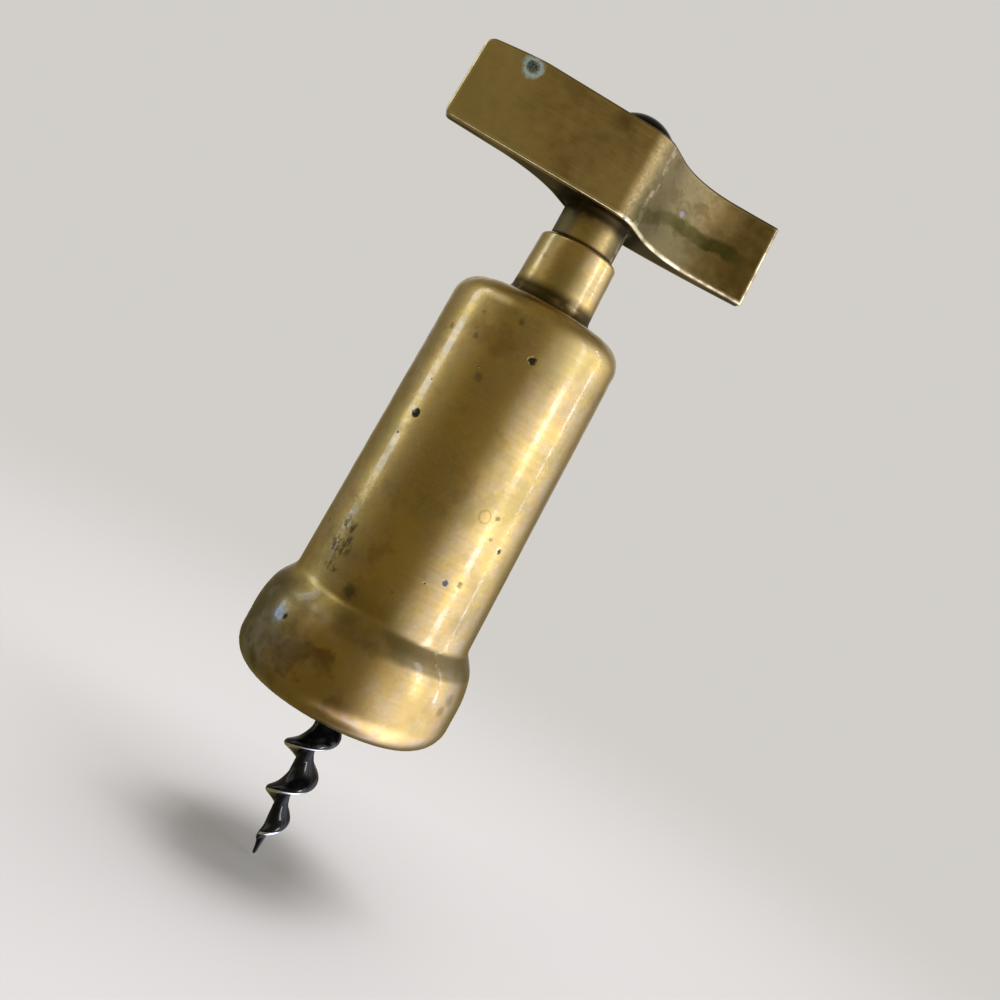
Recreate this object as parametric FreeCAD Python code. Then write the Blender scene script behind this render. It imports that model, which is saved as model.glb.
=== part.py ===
"""Bell corkscrew: a brass bell that stands on a bottle, and a T handle that turns and lifts a worm inside it.

Millimetres, +Z up along the one axis that all pieces share. The origin is on that axis, in the plane
of the ledge inside the mouth where the bottle's lip seats. The handle's arms lie along X.
The handle is drawn fully down, its hub seated on the collar and the worm standing out of the mouth.
"""
import FreeCAD, Part
import math
import os

# Bell: barrel, shoulder and collar turned in one piece
MOUTH_DEPTH = 15.0          # from the rim up to the ledge that the bottle's lip meets
MOUTH_R = 15.1              # takes a 29.5 mm bottle finish
SMALL_ROUND = 0.3           # turned edges that are only broken
BARREL_BORE_R = 12.9        # takes the drawn cork
LIP_R = 21.5                # widest part of the rounded lip
LIP_EDGE_Z = -1.0           # where the side of the lip turns in towards the waist
LIP_EDGE_ROUND = 6.0
WAIST_R = 18.0
WAIST_Z = 5.5
WAIST_ROUND = 2.0
SHOULDER_R = 16.78
SHOULDER_Z = 67.7
SHOULDER_ROUND = 4.5
SHOULDER_RISE = 0.5         # the shoulder climbs this much towards the collar
CEILING_Z = 64.0
CEILING_ROUND = 1.0
COLLAR_FOOT_R = 8.15
COLLAR_TOP_R = 7.75
COLLAR_TOP_Z = 81.1
COLLAR_FOOT_ROUND = 1.8
COLLAR_TOP_ROUND = 0.8

# Handle: a hub and a block that thins to a blade at each end, one blade in front and one behind
HUB_GAP = 0.2               # open joint between collar and hub, held by the thrust washer
HUB_R = 6.4
HUB_ROOT_ROUND = 1.2
BLOCK_BOTTOM_Z = 88.15
BLOCK_TOP_Z = 104.8
BLOCK_HALF_THICKNESS = 9.4
ARM_LENGTH = 33.2           # along the bottom
END_SLANT = 0.7             # the ends lean in by this much from bottom to top
BLADE_END_THICKNESS = 3.4
BLADE_ROOT_THICKNESS = 4.3
BLADE_ROOT_X = 22.0         # where the scoop ends and the straight blade starts
SCOOP_EDGE_X = 4.0          # where the scoop leaves the flat face
SCOOP_EDGE_ROUND = 5.5
SCOOP_STEEP_ANGLE = 55.0    # slope of the scoop beside the block, in degrees
EDGE_CHAMFER = 0.45
LEFT_TOP_CORNER_ROUND = 2.6
LEFT_BOTTOM_CORNER_ROUND = 1.2

# Worm: round shank, square tang, threaded stud, and below them a right-handed flight on a core
SHANK_R = 3.0
RUNNING_CLEARANCE = 0.08    # shank in the collar
ASSEMBLY_CLEARANCE = 0.05   # fixed pieces in each other
TANG_FLATS = 5.0
TANG_FOOT_Z = 86.0
STUD_R = 2.45
STUD_TOP_Z = 102.9
FLIGHT_R = 4.74
CORE_R = 1.35
PITCH = 9.4
CREST_HEIGHT = -20.9        # a height at which the crest points along CREST_ANGLE
CREST_ANGLE = -4.5          # degrees from +X
# height, flight radius and core radius, down from where the flight leaves the shank to the tip
WORM_TAPER = [
    (8.6, 2.6, SHANK_R),
    (3.6, FLIGHT_R, CORE_R),
    (-29.5, FLIGHT_R, CORE_R),
    (-35.0, 3.75, 1.15),
    (-39.3, 3.45, 0.95),
    (-42.0, 2.4, 0.8),
    (-44.2, 0.75, 0.6),
    (-45.2, 0.3, 0.5),
    (-47.4, 0, 0.3),
]
# flight's profile from the lower root up: flat lower flank, rounded crest, hollow upper flank;
# the share is of the flight's depth, and the offset is the height from the crest
FLIGHT_DEPTH_SHARES = [0.55, 0.93, 1.0, 1.0, 0.92, 0.6, 0.28]
FLIGHT_OFFSETS = [-0.92, -0.62, -0.2, 0.25, 0.65, 1.4, 2.4]
LOWER_ROOT_OFFSET = -1.35
UPPER_ROOT_OFFSET = 3.6
ROOT_SHARE = 0.45           # the roots' radius as a share of the core's
STATIONS_PER_TURN = 8

# Fasteners in the top of the handle, and the thrust washer under it
POCKET_R = 5.78
POCKET_DEPTH = 7.9
LOCK_WASHER_HOLE_R = 2.6
LOCK_WASHER_R = 4.4
LOCK_WASHER_THICKNESS = 1.2
LOCK_WASHER_SPLIT = 0.8
NUT_FLATS = 8.0
NUT_HEIGHT = 4.0
NUT_CHAMFER = 0.5
CAP_R = 6.95
CAP_RISE = 3.95
DOME_FLATS = 4
CAP_SKIRT_WALL = 0.9
CAP_SKIRT_DEPTH = 4.3
CAP_ROOF = 0.6              # from the block's top down to the inside of the cap
THRUST_WASHER_R = 4.6
THRUST_WASHER_THICKNESS = 1.0
THRUST_RECESS_CLEARANCE = 0.1

OVERCUT = 1.0               # how far cutting tools run past the faces they open
TOUCH = 1e-3                # nearer than this is the same place
FLAT_DEPTH = 0.12           # turned roundings are rings of flats that cut this far inside the arc at most
AXIS = FreeCAD.Vector(0, 0, 1)
AXIS_POINT = FreeCAD.Vector(0, 0, 0)


def rounded_outline(corners, plane, in_flats=False):
    """Closed wire through (a, b, radius) corners, each rounded by a tangent arc or by flats along it.

    plane maps a and b to a point in space.
    """
    joints = []
    count = len(corners)
    for index, (a, b, radius) in enumerate(corners):
        corner = plane(a, b)
        before = plane(*corners[index - 1][:2]) - corner
        after = plane(*corners[(index + 1) % count][:2]) - corner
        before.normalize()
        after.normalize()
        half_angle = before.getAngle(after) / 2
        if radius == 0:
            joints.append((corner, None, corner))
            continue
        reach = radius / math.tan(half_angle)
        bisector = (before + after).normalize()
        middle = corner + bisector * (radius / math.sin(half_angle) - radius)
        joints.append((corner + before * reach, middle, corner + after * reach))
    edges = []
    for index, (start, middle, end) in enumerate(joints):
        if middle is not None:
            arc = Part.Arc(start, middle, end).toShape()
            if in_flats:
                flat_turn = 2 * math.acos(1 - FLAT_DEPTH / arc.Curve.Radius)
                flats = math.ceil(arc.Length / arc.Curve.Radius / flat_turn)
                edges += Part.makePolygon(arc.discretize(flats + 1)).Edges
            else:
                edges.append(arc)
        following = joints[(index + 1) % count][0]
        if (following - end).Length > TOUCH:
            edges.append(Part.LineSegment(end, following).toShape())
    return Part.Wire(edges)


def turned(corners):
    """Solid of revolution about the axis from (radius, height, rounding) corners."""
    outline = rounded_outline(corners, lambda r, z: FreeCAD.Vector(r, 0, z), in_flats=True)
    return Part.Face(outline).revolve(AXIS_POINT, AXIS, 360)


def cylinder(radius, bottom, top):
    """Round bar on the axis between two heights."""
    return Part.makeCylinder(radius, top - bottom, FreeCAD.Vector(0, 0, bottom))


def bar(flats, radius, bottom, top):
    """Square bar of the given width over flats, its corners turned down to a radius."""
    square = Part.makeBox(
        flats, flats, top - bottom, FreeCAD.Vector(-flats / 2, -flats / 2, bottom)
    )
    return square.common(cylinder(radius, bottom, top))


def make_bell():
    """Barrel with a rounded lip, a ledge inside the mouth, a shoulder and a collar bored for the shank."""
    collar_bore = SHANK_R + RUNNING_CLEARANCE
    rim = -MOUTH_DEPTH
    lip_round = LIP_R - MOUTH_R - SMALL_ROUND
    return turned([
        (collar_bore, CEILING_Z, 0),
        (collar_bore, COLLAR_TOP_Z, 0),
        (COLLAR_TOP_R, COLLAR_TOP_Z, COLLAR_TOP_ROUND),
        (COLLAR_FOOT_R, SHOULDER_Z + SHOULDER_RISE, COLLAR_FOOT_ROUND),
        (SHOULDER_R, SHOULDER_Z, SHOULDER_ROUND),
        (WAIST_R, WAIST_Z, WAIST_ROUND),
        (LIP_R, LIP_EDGE_Z, LIP_EDGE_ROUND),
        (LIP_R, rim, lip_round),
        (MOUTH_R, rim, SMALL_ROUND),
        (MOUTH_R, 0, 0),
        (BARREL_BORE_R, 0, SMALL_ROUND),
        (BARREL_BORE_R, CEILING_Z, CEILING_ROUND),
    ])


def arm_outline():
    """Plan of the block: a flat face and a scooped face, repeated with a half turn about the axis."""
    flat_y = -BLOCK_HALF_THICKNESS
    root_y = BLOCK_HALF_THICKNESS - BLADE_ROOT_THICKNESS
    end_y = BLOCK_HALF_THICKNESS - BLADE_END_THICKNESS
    # the steep flank and the line of the blade meet where the scoop's large arc rounds them off
    blade_slope = (end_y - root_y) / (ARM_LENGTH - BLADE_ROOT_X)
    flank_slope = math.tan(math.radians(SCOOP_STEEP_ANGLE))
    meet_x = (
        root_y - blade_slope * BLADE_ROOT_X - flat_y + flank_slope * SCOOP_EDGE_X
    ) / (flank_slope - blade_slope)
    meet_y = flat_y + flank_slope * (meet_x - SCOOP_EDGE_X)
    turn = math.atan(flank_slope) - math.atan(blade_slope)
    scoop_round = (BLADE_ROOT_X - meet_x) / math.cos(math.atan(blade_slope)) / math.tan(turn / 2)
    half = [
        (SCOOP_EDGE_X, flat_y, SCOOP_EDGE_ROUND),
        (meet_x, meet_y, scoop_round),
        (ARM_LENGTH, end_y, 0),
        (ARM_LENGTH, BLOCK_HALF_THICKNESS, 0),
    ]
    return half + [(-x, -y, radius) for x, y, radius in half]


def between_ends(block):
    """The block cut off at both ends by planes that lean in towards the top."""
    top_length = ARM_LENGTH - END_SLANT
    front_y = -BLOCK_HALF_THICKNESS - OVERCUT
    side = [
        FreeCAD.Vector(x, front_y, z)
        for x, z in (
            (-ARM_LENGTH, BLOCK_BOTTOM_Z),
            (ARM_LENGTH, BLOCK_BOTTOM_Z),
            (top_length, BLOCK_TOP_Z),
            (-top_length, BLOCK_TOP_Z),
        )
    ]
    depth = FreeCAD.Vector(0, -2 * front_y, 0)
    return block.common(Part.Face(Part.makePolygon(side + side[:1])).extrude(depth))


def left_end_edges(block, height):
    """The short edge across the left blade's end at one height."""
    return [
        edge for edge in block.Edges
        if edge.BoundBox.XMax < TOUCH + END_SLANT - ARM_LENGTH
        and abs(edge.BoundBox.Center.z - height) < TOUCH
    ]


def make_handle():
    """Cast block with its two scoops, the hub below it, and the holes that take the shank and its nut."""
    outline = rounded_outline(arm_outline(), lambda x, y: FreeCAD.Vector(x, y, BLOCK_BOTTOM_Z))
    block = between_ends(Part.Face(outline).extrude(AXIS * (BLOCK_TOP_Z - BLOCK_BOTTOM_Z)))
    for height, radius in (
        (BLOCK_TOP_Z, LEFT_TOP_CORNER_ROUND),
        (BLOCK_BOTTOM_Z, LEFT_BOTTOM_CORNER_ROUND),
    ):
        block = block.makeFillet(radius, left_end_edges(block, height))
    block = block.makeChamfer(EDGE_CHAMFER, block.Edges)

    hub_bottom = COLLAR_TOP_Z + HUB_GAP
    hub = turned([
        (0, hub_bottom, 0),
        (HUB_R, hub_bottom, SMALL_ROUND),
        (HUB_R, BLOCK_BOTTOM_Z, HUB_ROOT_ROUND),
        (HUB_R + 2 * HUB_ROOT_ROUND, BLOCK_BOTTOM_Z, 0),
        (HUB_R, BLOCK_BOTTOM_Z + OVERCUT, 0),
        (0, BLOCK_BOTTOM_Z + OVERCUT, 0),
    ])
    body = block.fuse(hub).removeSplitter()

    pocket_floor = BLOCK_TOP_Z - POCKET_DEPTH
    recess_top = COLLAR_TOP_Z + THRUST_WASHER_THICKNESS
    for hole in (
        cylinder(SHANK_R + ASSEMBLY_CLEARANCE, hub_bottom - OVERCUT, TANG_FOOT_Z),
        bar(TANG_FLATS + ASSEMBLY_CLEARANCE, SHANK_R + ASSEMBLY_CLEARANCE,
            TANG_FOOT_Z - OVERCUT, pocket_floor + OVERCUT),
        cylinder(POCKET_R, pocket_floor, BLOCK_TOP_Z + OVERCUT),
        cylinder(THRUST_WASHER_R + THRUST_RECESS_CLEARANCE, hub_bottom - OVERCUT, recess_top),
    ):
        body = body.cut(hole)
    return body


def taper_at(height):
    """Flight radius and core radius of the worm at a height, even from one taper station to the next."""
    for (top, *upper), (bottom, *lower) in zip(WORM_TAPER, WORM_TAPER[1:]):
        if height >= bottom:
            break
    share = (top - height) / (top - bottom)
    return [u + (v - u) * share for u, v in zip(upper, lower)]


def helix(heights, depth, offset):
    """Spline through one corner of the flight's profile as the crest climbs through the given heights.

    depth is a share of the flight's depth, or None for a root inside the core.
    """
    points = []
    for height in heights:
        flight_r, core_r = taper_at(height)
        radius = ROOT_SHARE * core_r if depth is None else core_r + (flight_r - core_r) * depth
        angle = math.radians(CREST_ANGLE) + 2 * math.pi * (height - CREST_HEIGHT) / PITCH
        points.append(FreeCAD.Vector(
            radius * math.cos(angle), radius * math.sin(angle), height + offset
        ))
    curve = Part.BSplineCurve()
    curve.interpolate(Points=points, Parameters=heights)
    return curve


def make_flight():
    """Flight of the worm, one solid for each turn, with its roots inside the core.

    Each corner of its profile runs along a helix, and neighbouring helices carry a ruled strip.
    """
    top = WORM_TAPER[0][0]
    foot = WORM_TAPER[-2][0]
    turns = math.ceil((top - foot) / PITCH)
    station_count = turns * STATIONS_PER_TURN
    heights = [foot + (top - foot) * step / station_count for step in range(station_count + 1)]
    depths = [None] + FLIGHT_DEPTH_SHARES + [None]
    offsets = [LOWER_ROOT_OFFSET] + FLIGHT_OFFSETS + [UPPER_ROOT_OFFSET]
    helices = [helix(heights, depth, offset) for depth, offset in zip(depths, offsets)]
    strips = []
    for index, upper in enumerate(helices):
        lower = helices[index - 1]
        strip = Part.BSplineSurface()
        strip.buildFromPolesMultsKnots(
            list(zip(lower.getPoles(), upper.getPoles())),
            upper.getMultiplicities(), [2, 2], upper.getKnots(), [0, 1], False, False, 3, 1,
        )
        strips.append(strip)
    solids = []
    for turn in range(turns):
        start = heights[turn * STATIONS_PER_TURN]
        end = heights[(turn + 1) * STATIONS_PER_TURN]
        faces = []
        for strip in strips:
            part_strip = strip.copy()
            part_strip.segment(start, end, 0, 1)
            faces.append(part_strip.toShape())
        for height in (start, end):
            ring = [curve.value(height) for curve in helices]
            faces.append(Part.Face(Part.makePolygon(ring + ring[:1])))
        skin = Part.makeShell(faces)
        skin.sewShape()
        solid = Part.makeSolid(Part.Shell(skin.Faces))
        if solid.Volume < 0:
            solid.reverse()
        solids.append(solid)
    return solids


def make_worm():
    """Steel worm: the core with its flight, the shank, the square tang that takes the handle, and the stud."""
    pocket_floor = BLOCK_TOP_Z - POCKET_DEPTH
    core = [(core_r, height, 0) for height, _, core_r in WORM_TAPER]
    shaft = turned([(0, TANG_FOOT_Z, 0), (SHANK_R, TANG_FOOT_Z, 0)] + core + [(0, core[-1][1], 0)])
    tang = bar(TANG_FLATS, SHANK_R, TANG_FOOT_Z, pocket_floor)
    stud = turned([
        (0, pocket_floor, 0),
        (STUD_R, pocket_floor, 0),
        (STUD_R, STUD_TOP_Z, SMALL_ROUND),
        (0, STUD_TOP_Z, 0),
    ])
    return shaft.fuse(make_flight() + [tang, stud])


def make_lock_washer():
    """Spring washer on the pocket's floor, split once."""
    floor = BLOCK_TOP_Z - POCKET_DEPTH
    ring = cylinder(LOCK_WASHER_R, floor, floor + LOCK_WASHER_THICKNESS)
    ring = ring.cut(cylinder(LOCK_WASHER_HOLE_R, floor - OVERCUT, floor + LOCK_WASHER_THICKNESS + OVERCUT))
    split = Part.makeBox(
        LOCK_WASHER_R + OVERCUT,
        LOCK_WASHER_SPLIT,
        LOCK_WASHER_THICKNESS + 2 * OVERCUT,
        FreeCAD.Vector(0, -LOCK_WASHER_SPLIT / 2, floor - OVERCUT),
    )
    return ring.cut(split)


def make_shank_nut():
    """Hexagon nut on the stud, its corners turned off at both faces."""
    bottom = BLOCK_TOP_Z - POCKET_DEPTH + LOCK_WASHER_THICKNESS
    top = bottom + NUT_HEIGHT
    corner_r = NUT_FLATS / math.sqrt(3)
    corners = [
        FreeCAD.Vector(corner_r * math.cos(turn * math.pi / 3), corner_r * math.sin(turn * math.pi / 3), bottom)
        for turn in range(7)
    ]
    hexagon = Part.Face(Part.makePolygon(corners)).extrude(AXIS * NUT_HEIGHT)
    turned_off = turned([
        (0, bottom, 0),
        (corner_r - NUT_CHAMFER, bottom, 0),
        (corner_r, bottom + NUT_CHAMFER / 2, 0),
        (corner_r, top - NUT_CHAMFER / 2, 0),
        (corner_r - NUT_CHAMFER, top, 0),
        (0, top, 0),
    ])
    return hexagon.common(turned_off).cut(
        cylinder(STUD_R + ASSEMBLY_CLEARANCE, bottom - OVERCUT, top + OVERCUT)
    )


def make_top_cap():
    """Domed cap over the nut: a shallow dome on the block's top face and a skirt that plugs the pocket."""
    dome_r = (CAP_R ** 2 + CAP_RISE ** 2) / (2 * CAP_RISE)
    half_angle = math.asin(CAP_R / dome_r) / 2
    middle = FreeCAD.Vector(
        dome_r * math.sin(half_angle), 0, BLOCK_TOP_Z + CAP_RISE - dome_r * (1 - math.cos(half_angle))
    )
    crown = FreeCAD.Vector(0, 0, BLOCK_TOP_Z + CAP_RISE)
    arc = Part.Arc(FreeCAD.Vector(CAP_R, 0, BLOCK_TOP_Z), middle, crown).toShape()
    outline = arc.discretize(DOME_FLATS + 1) + [FreeCAD.Vector(0, 0, BLOCK_TOP_Z)]
    dome = Part.Face(Part.makePolygon(outline + outline[:1])).revolve(AXIS_POINT, AXIS, 360)
    skirt_r = POCKET_R - ASSEMBLY_CLEARANCE
    skirt = cylinder(skirt_r, BLOCK_TOP_Z - CAP_SKIRT_DEPTH, BLOCK_TOP_Z)
    inside = cylinder(
        skirt_r - CAP_SKIRT_WALL,
        BLOCK_TOP_Z - CAP_SKIRT_DEPTH - OVERCUT,
        BLOCK_TOP_Z - CAP_ROOF,
    )
    return dome.fuse(skirt.cut(inside))


def make_thrust_washer():
    """Washer between collar and hub, sunk in the hub so that only the open joint shows."""
    ring = cylinder(THRUST_WASHER_R, COLLAR_TOP_Z, COLLAR_TOP_Z + THRUST_WASHER_THICKNESS)
    hole = cylinder(
        SHANK_R + RUNNING_CLEARANCE,
        COLLAR_TOP_Z - OVERCUT,
        COLLAR_TOP_Z + THRUST_WASHER_THICKNESS + OVERCUT,
    )
    return ring.cut(hole)


PIECES = {
    "bell": make_bell,
    "thrust_washer": make_thrust_washer,
    "handle": make_handle,
    "worm": make_worm,
    "lock_washer": make_lock_washer,
    "shank_nut": make_shank_nut,
    "top_cap": make_top_cap,
}

os.makedirs("parts", exist_ok=True)
for node, make in PIECES.items():
    shape = make()
    shape.exportStep(f"parts/{node}.step")
    print(f"{node}: {len(shape.Solids)} solid, valid {shape.isValid()}, {shape.Volume / 1000:.2f} cm3")
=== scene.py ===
"""Bell corkscrew: the turned brass bell, the scooped T handle, the black worm and the cap on top.

Metres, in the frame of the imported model: +Z up the axis, the arms of the handle along X, the origin
in the plane of the ledge inside the mouth. Sizes in the sections are in millimetres.
"""
import math
import bmesh
import bpy
import numpy as np
from mathutils import Matrix, Vector


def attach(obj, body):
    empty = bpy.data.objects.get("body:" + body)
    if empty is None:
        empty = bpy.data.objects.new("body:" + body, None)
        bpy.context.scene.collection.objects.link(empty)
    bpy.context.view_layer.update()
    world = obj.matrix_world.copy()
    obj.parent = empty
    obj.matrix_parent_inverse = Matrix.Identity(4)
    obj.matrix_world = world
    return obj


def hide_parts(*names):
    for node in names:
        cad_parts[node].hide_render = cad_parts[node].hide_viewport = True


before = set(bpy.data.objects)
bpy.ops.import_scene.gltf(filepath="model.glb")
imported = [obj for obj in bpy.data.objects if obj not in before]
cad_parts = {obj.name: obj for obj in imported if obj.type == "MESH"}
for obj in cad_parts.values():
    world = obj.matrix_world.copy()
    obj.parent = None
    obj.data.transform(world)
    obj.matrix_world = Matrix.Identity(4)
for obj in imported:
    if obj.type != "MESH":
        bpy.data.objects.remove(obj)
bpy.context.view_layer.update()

# --------------------------------------------------------------------------------------------------
# The bell. One brass bar, turned: a barrel that takes the cork, a rounded lip that stands on the
# bottle, a shoulder, and a collar bored for the shank. It was polished once and has aged to a warm
# brown gold, with turning marks round it, a few deep pits, and dirt with painted shade in its
# corners. Painted shade also darkens the flare and the lip's left side.

MM = 0.001

COLLAR_BORE = 3.08          # radius, as all the bores here
COLLAR_TOP = 81.1
BARREL_BORE = 12.9
CEILING = 64.0
MOUTH_R = 15.1
LIP_R = 21.5
LIP_FOOT = -15.0
WAIST_HEIGHT = 5.5          # where the barrel flares out to the lip
# radius, height and rounding of each corner of the turned outline
BELL_CORNERS = [
    (COLLAR_BORE, CEILING, 0.1),
    (COLLAR_BORE, COLLAR_TOP, 0.15),
    (7.75, COLLAR_TOP, 0.8),
    (8.1, 68.15, 2.4),
    (16.78, 67.7, 4.5),
    (18.0, WAIST_HEIGHT, 2.6),
    (20.35, 2.2, 8.0),
    (LIP_R, -2.0, 20.0),
    (LIP_R, LIP_FOOT, 6.1),
    (MOUTH_R, LIP_FOOT, 0.3),
    (MOUTH_R, 0.0, 0.15),
    (BARREL_BORE, 0.0, 0.3),
    (BARREL_BORE, CEILING, 1.0),
]
BELL_AROUND = 240           # points round the bell
ARC_STEP = math.radians(5)
LONGEST_STEP = 1.2


def rounded_path(corners, closed, arc_step=ARC_STEP):
    """Points of a line through (a, b, rounding) corners.

    Each corner gives way to the arc that touches both of its sides: the arc's centre lies on the
    bisector, rounding / sin(half the corner's angle) away, and its points are even in angle.
    """
    parts = []
    for index, (a, b, rounding) in enumerate(corners):
        corner = np.array([a, b])
        if not closed and index in (0, len(corners) - 1):
            parts.append(corner[None])
            continue
        before = np.array(corners[index - 1][:2]) - corner
        after = np.array(corners[(index + 1) % len(corners)][:2]) - corner
        before /= np.linalg.norm(before)
        after /= np.linalg.norm(after)
        half = math.acos(before @ after) / 2
        bisector = (before + after) / np.linalg.norm(before + after)
        centre = corner + bisector * rounding / math.sin(half)
        start = corner + before * rounding / math.tan(half) - centre
        end = corner + after * rounding / math.tan(half) - centre
        turn = math.pi - 2 * half
        share = np.linspace(0, 1, max(3, math.ceil(turn / arc_step) + 1))[:, None]
        arc = start * np.sin((1 - share) * turn) + end * np.sin(share * turn)
        parts.append(centre + arc / math.sin(turn))
    return np.concatenate(parts)


def divided(path, longest):
    """The same closed path with each of its runs cut evenly into steps no longer than longest."""
    run = np.roll(path, -1, axis=0) - path
    steps = np.ceil(np.linalg.norm(run, axis=1) / longest).astype(int)
    which = np.repeat(np.arange(len(path)), steps)
    first = np.repeat(np.cumsum(steps) - steps, steps)
    share = (np.arange(len(which)) - first) / steps[which]
    return path[which] + run[which] * share[:, None]


def revolved(profile, around):
    """Grid of a turned surface: x = radius cos(turn), y = radius sin(turn), z = height."""
    turn = np.linspace(0, 2 * math.pi, around, endpoint=False)
    radius, height = profile[:, :1], profile[:, 1:]
    return np.stack(
        [radius * np.cos(turn), radius * np.sin(turn), height + 0 * turn], axis=-1
    )


def quads_of(rows, columns, closed_rows, closed_columns):
    """Corner numbers of the faces between neighbours in a grid, row after row.

    A closed direction also has faces from its last line of points back to its first.
    """
    index = np.arange(rows * columns).reshape(rows, columns)
    if closed_rows:
        index = np.concatenate([index, index[:1]])
    if closed_columns:
        index = np.concatenate([index, index[:, :1]], axis=1)
    return np.stack(
        [index[:-1, :-1], index[:-1, 1:], index[1:, 1:], index[1:, :-1]], axis=-1
    ).reshape(-1, 4)


def piece(name, *grids, closed_rows=False):
    """Object of one or more grids of points in mm, each joined to itself round its columns.

    A grid can come as (grid, False) where it is open round its columns. Rows are joined end to end
    only where closed_rows is true; otherwise the end rows are points, or meet another grid.
    """
    points, quads, count = [], [], 0
    for grid in grids:
        grid, closed_columns = grid if isinstance(grid, tuple) else (grid, True)
        quads.append(quads_of(*grid.shape[:2], closed_rows, closed_columns) + count)
        points.append(grid.reshape(-1, 3))
        count += len(points[-1])
    mesh = bpy.data.meshes.new(name)
    mesh.from_pydata(
        (np.concatenate(points) * MM).tolist(), [], np.concatenate(quads).tolist()
    )
    made = bpy.data.objects.new(name, mesh)
    bpy.context.scene.collection.objects.link(made)
    closed_up(mesh)
    return made


def closed_up(mesh, sharp_angle=math.radians(38)):
    """Joins doubled points, turns all faces outwards and shades the mesh smooth up to an angle."""
    work = bmesh.new()
    work.from_mesh(mesh)
    bmesh.ops.remove_doubles(work, verts=work.verts, dist=1e-7)
    bmesh.ops.dissolve_degenerate(work, edges=work.edges, dist=1e-8)
    bmesh.ops.recalc_face_normals(work, faces=work.faces)
    work.to_mesh(mesh)
    work.free()
    mesh.shade_smooth()
    mesh.set_sharp_from_angle(angle=sharp_angle)


class Value:
    """One output of a shader node. Arithmetic with it, from either side, adds Math nodes."""

    def __init__(self, nodes, socket):
        self.nodes = nodes
        self.socket = socket

    def with_other(self, operation, first, second):
        return self.nodes.add("ShaderNodeMath", {"operation": operation}, {0: first, 1: second})

    def __add__(self, other):
        return self.with_other("ADD", self, other)

    def __sub__(self, other):
        return self.with_other("SUBTRACT", self, other)

    def __rsub__(self, other):
        return self.with_other("SUBTRACT", other, self)

    def __mul__(self, other):
        return self.with_other("MULTIPLY", self, other)

    def __pow__(self, other):
        return self.with_other("POWER", self, other)

    __radd__ = __add__
    __rmul__ = __mul__

    def either(self, other):
        """The larger of two masks."""
        return self.with_other("MAXIMUM", self, other)

    def eased(self, start, end, strength=1.0):
        """0 where the value is start or before, strength where it is end or beyond, smoothly."""
        return self.nodes.add(
            "ShaderNodeMapRange",
            {"interpolation_type": "SMOOTHSTEP"},
            {"Value": self, "From Min": start, "From Max": end, "To Max": strength},
        )


class Nodes:
    """The shader nodes of one material, or of the room."""

    def __init__(self, tree):
        self.tree = tree
        tree.nodes.clear()

    def add(self, kind, settings=None, sockets=None, output=0):
        """Adds a node of a kind: its settings first, then a value or link for each socket."""
        node = self.tree.nodes.new(kind)
        for name, setting in (settings or {}).items():
            setattr(node, name, setting)
        for name, value in (sockets or {}).items():
            if isinstance(value, Value):
                self.tree.links.new(value.socket, node.inputs[name])
            else:
                node.inputs[name].default_value = value
        return Value(self, node.outputs[output]) if node.outputs else None


def tint(red, green, blue):
    """Linear colour of a red, green and blue on the usual scale of 0 to 255."""
    share = np.array([red, green, blue]) / 255
    linear = np.where(share > 0.04045, ((share + 0.055) / 1.055) ** 2.4, share / 12.92)
    return (*linear.tolist(), 1.0)


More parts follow.
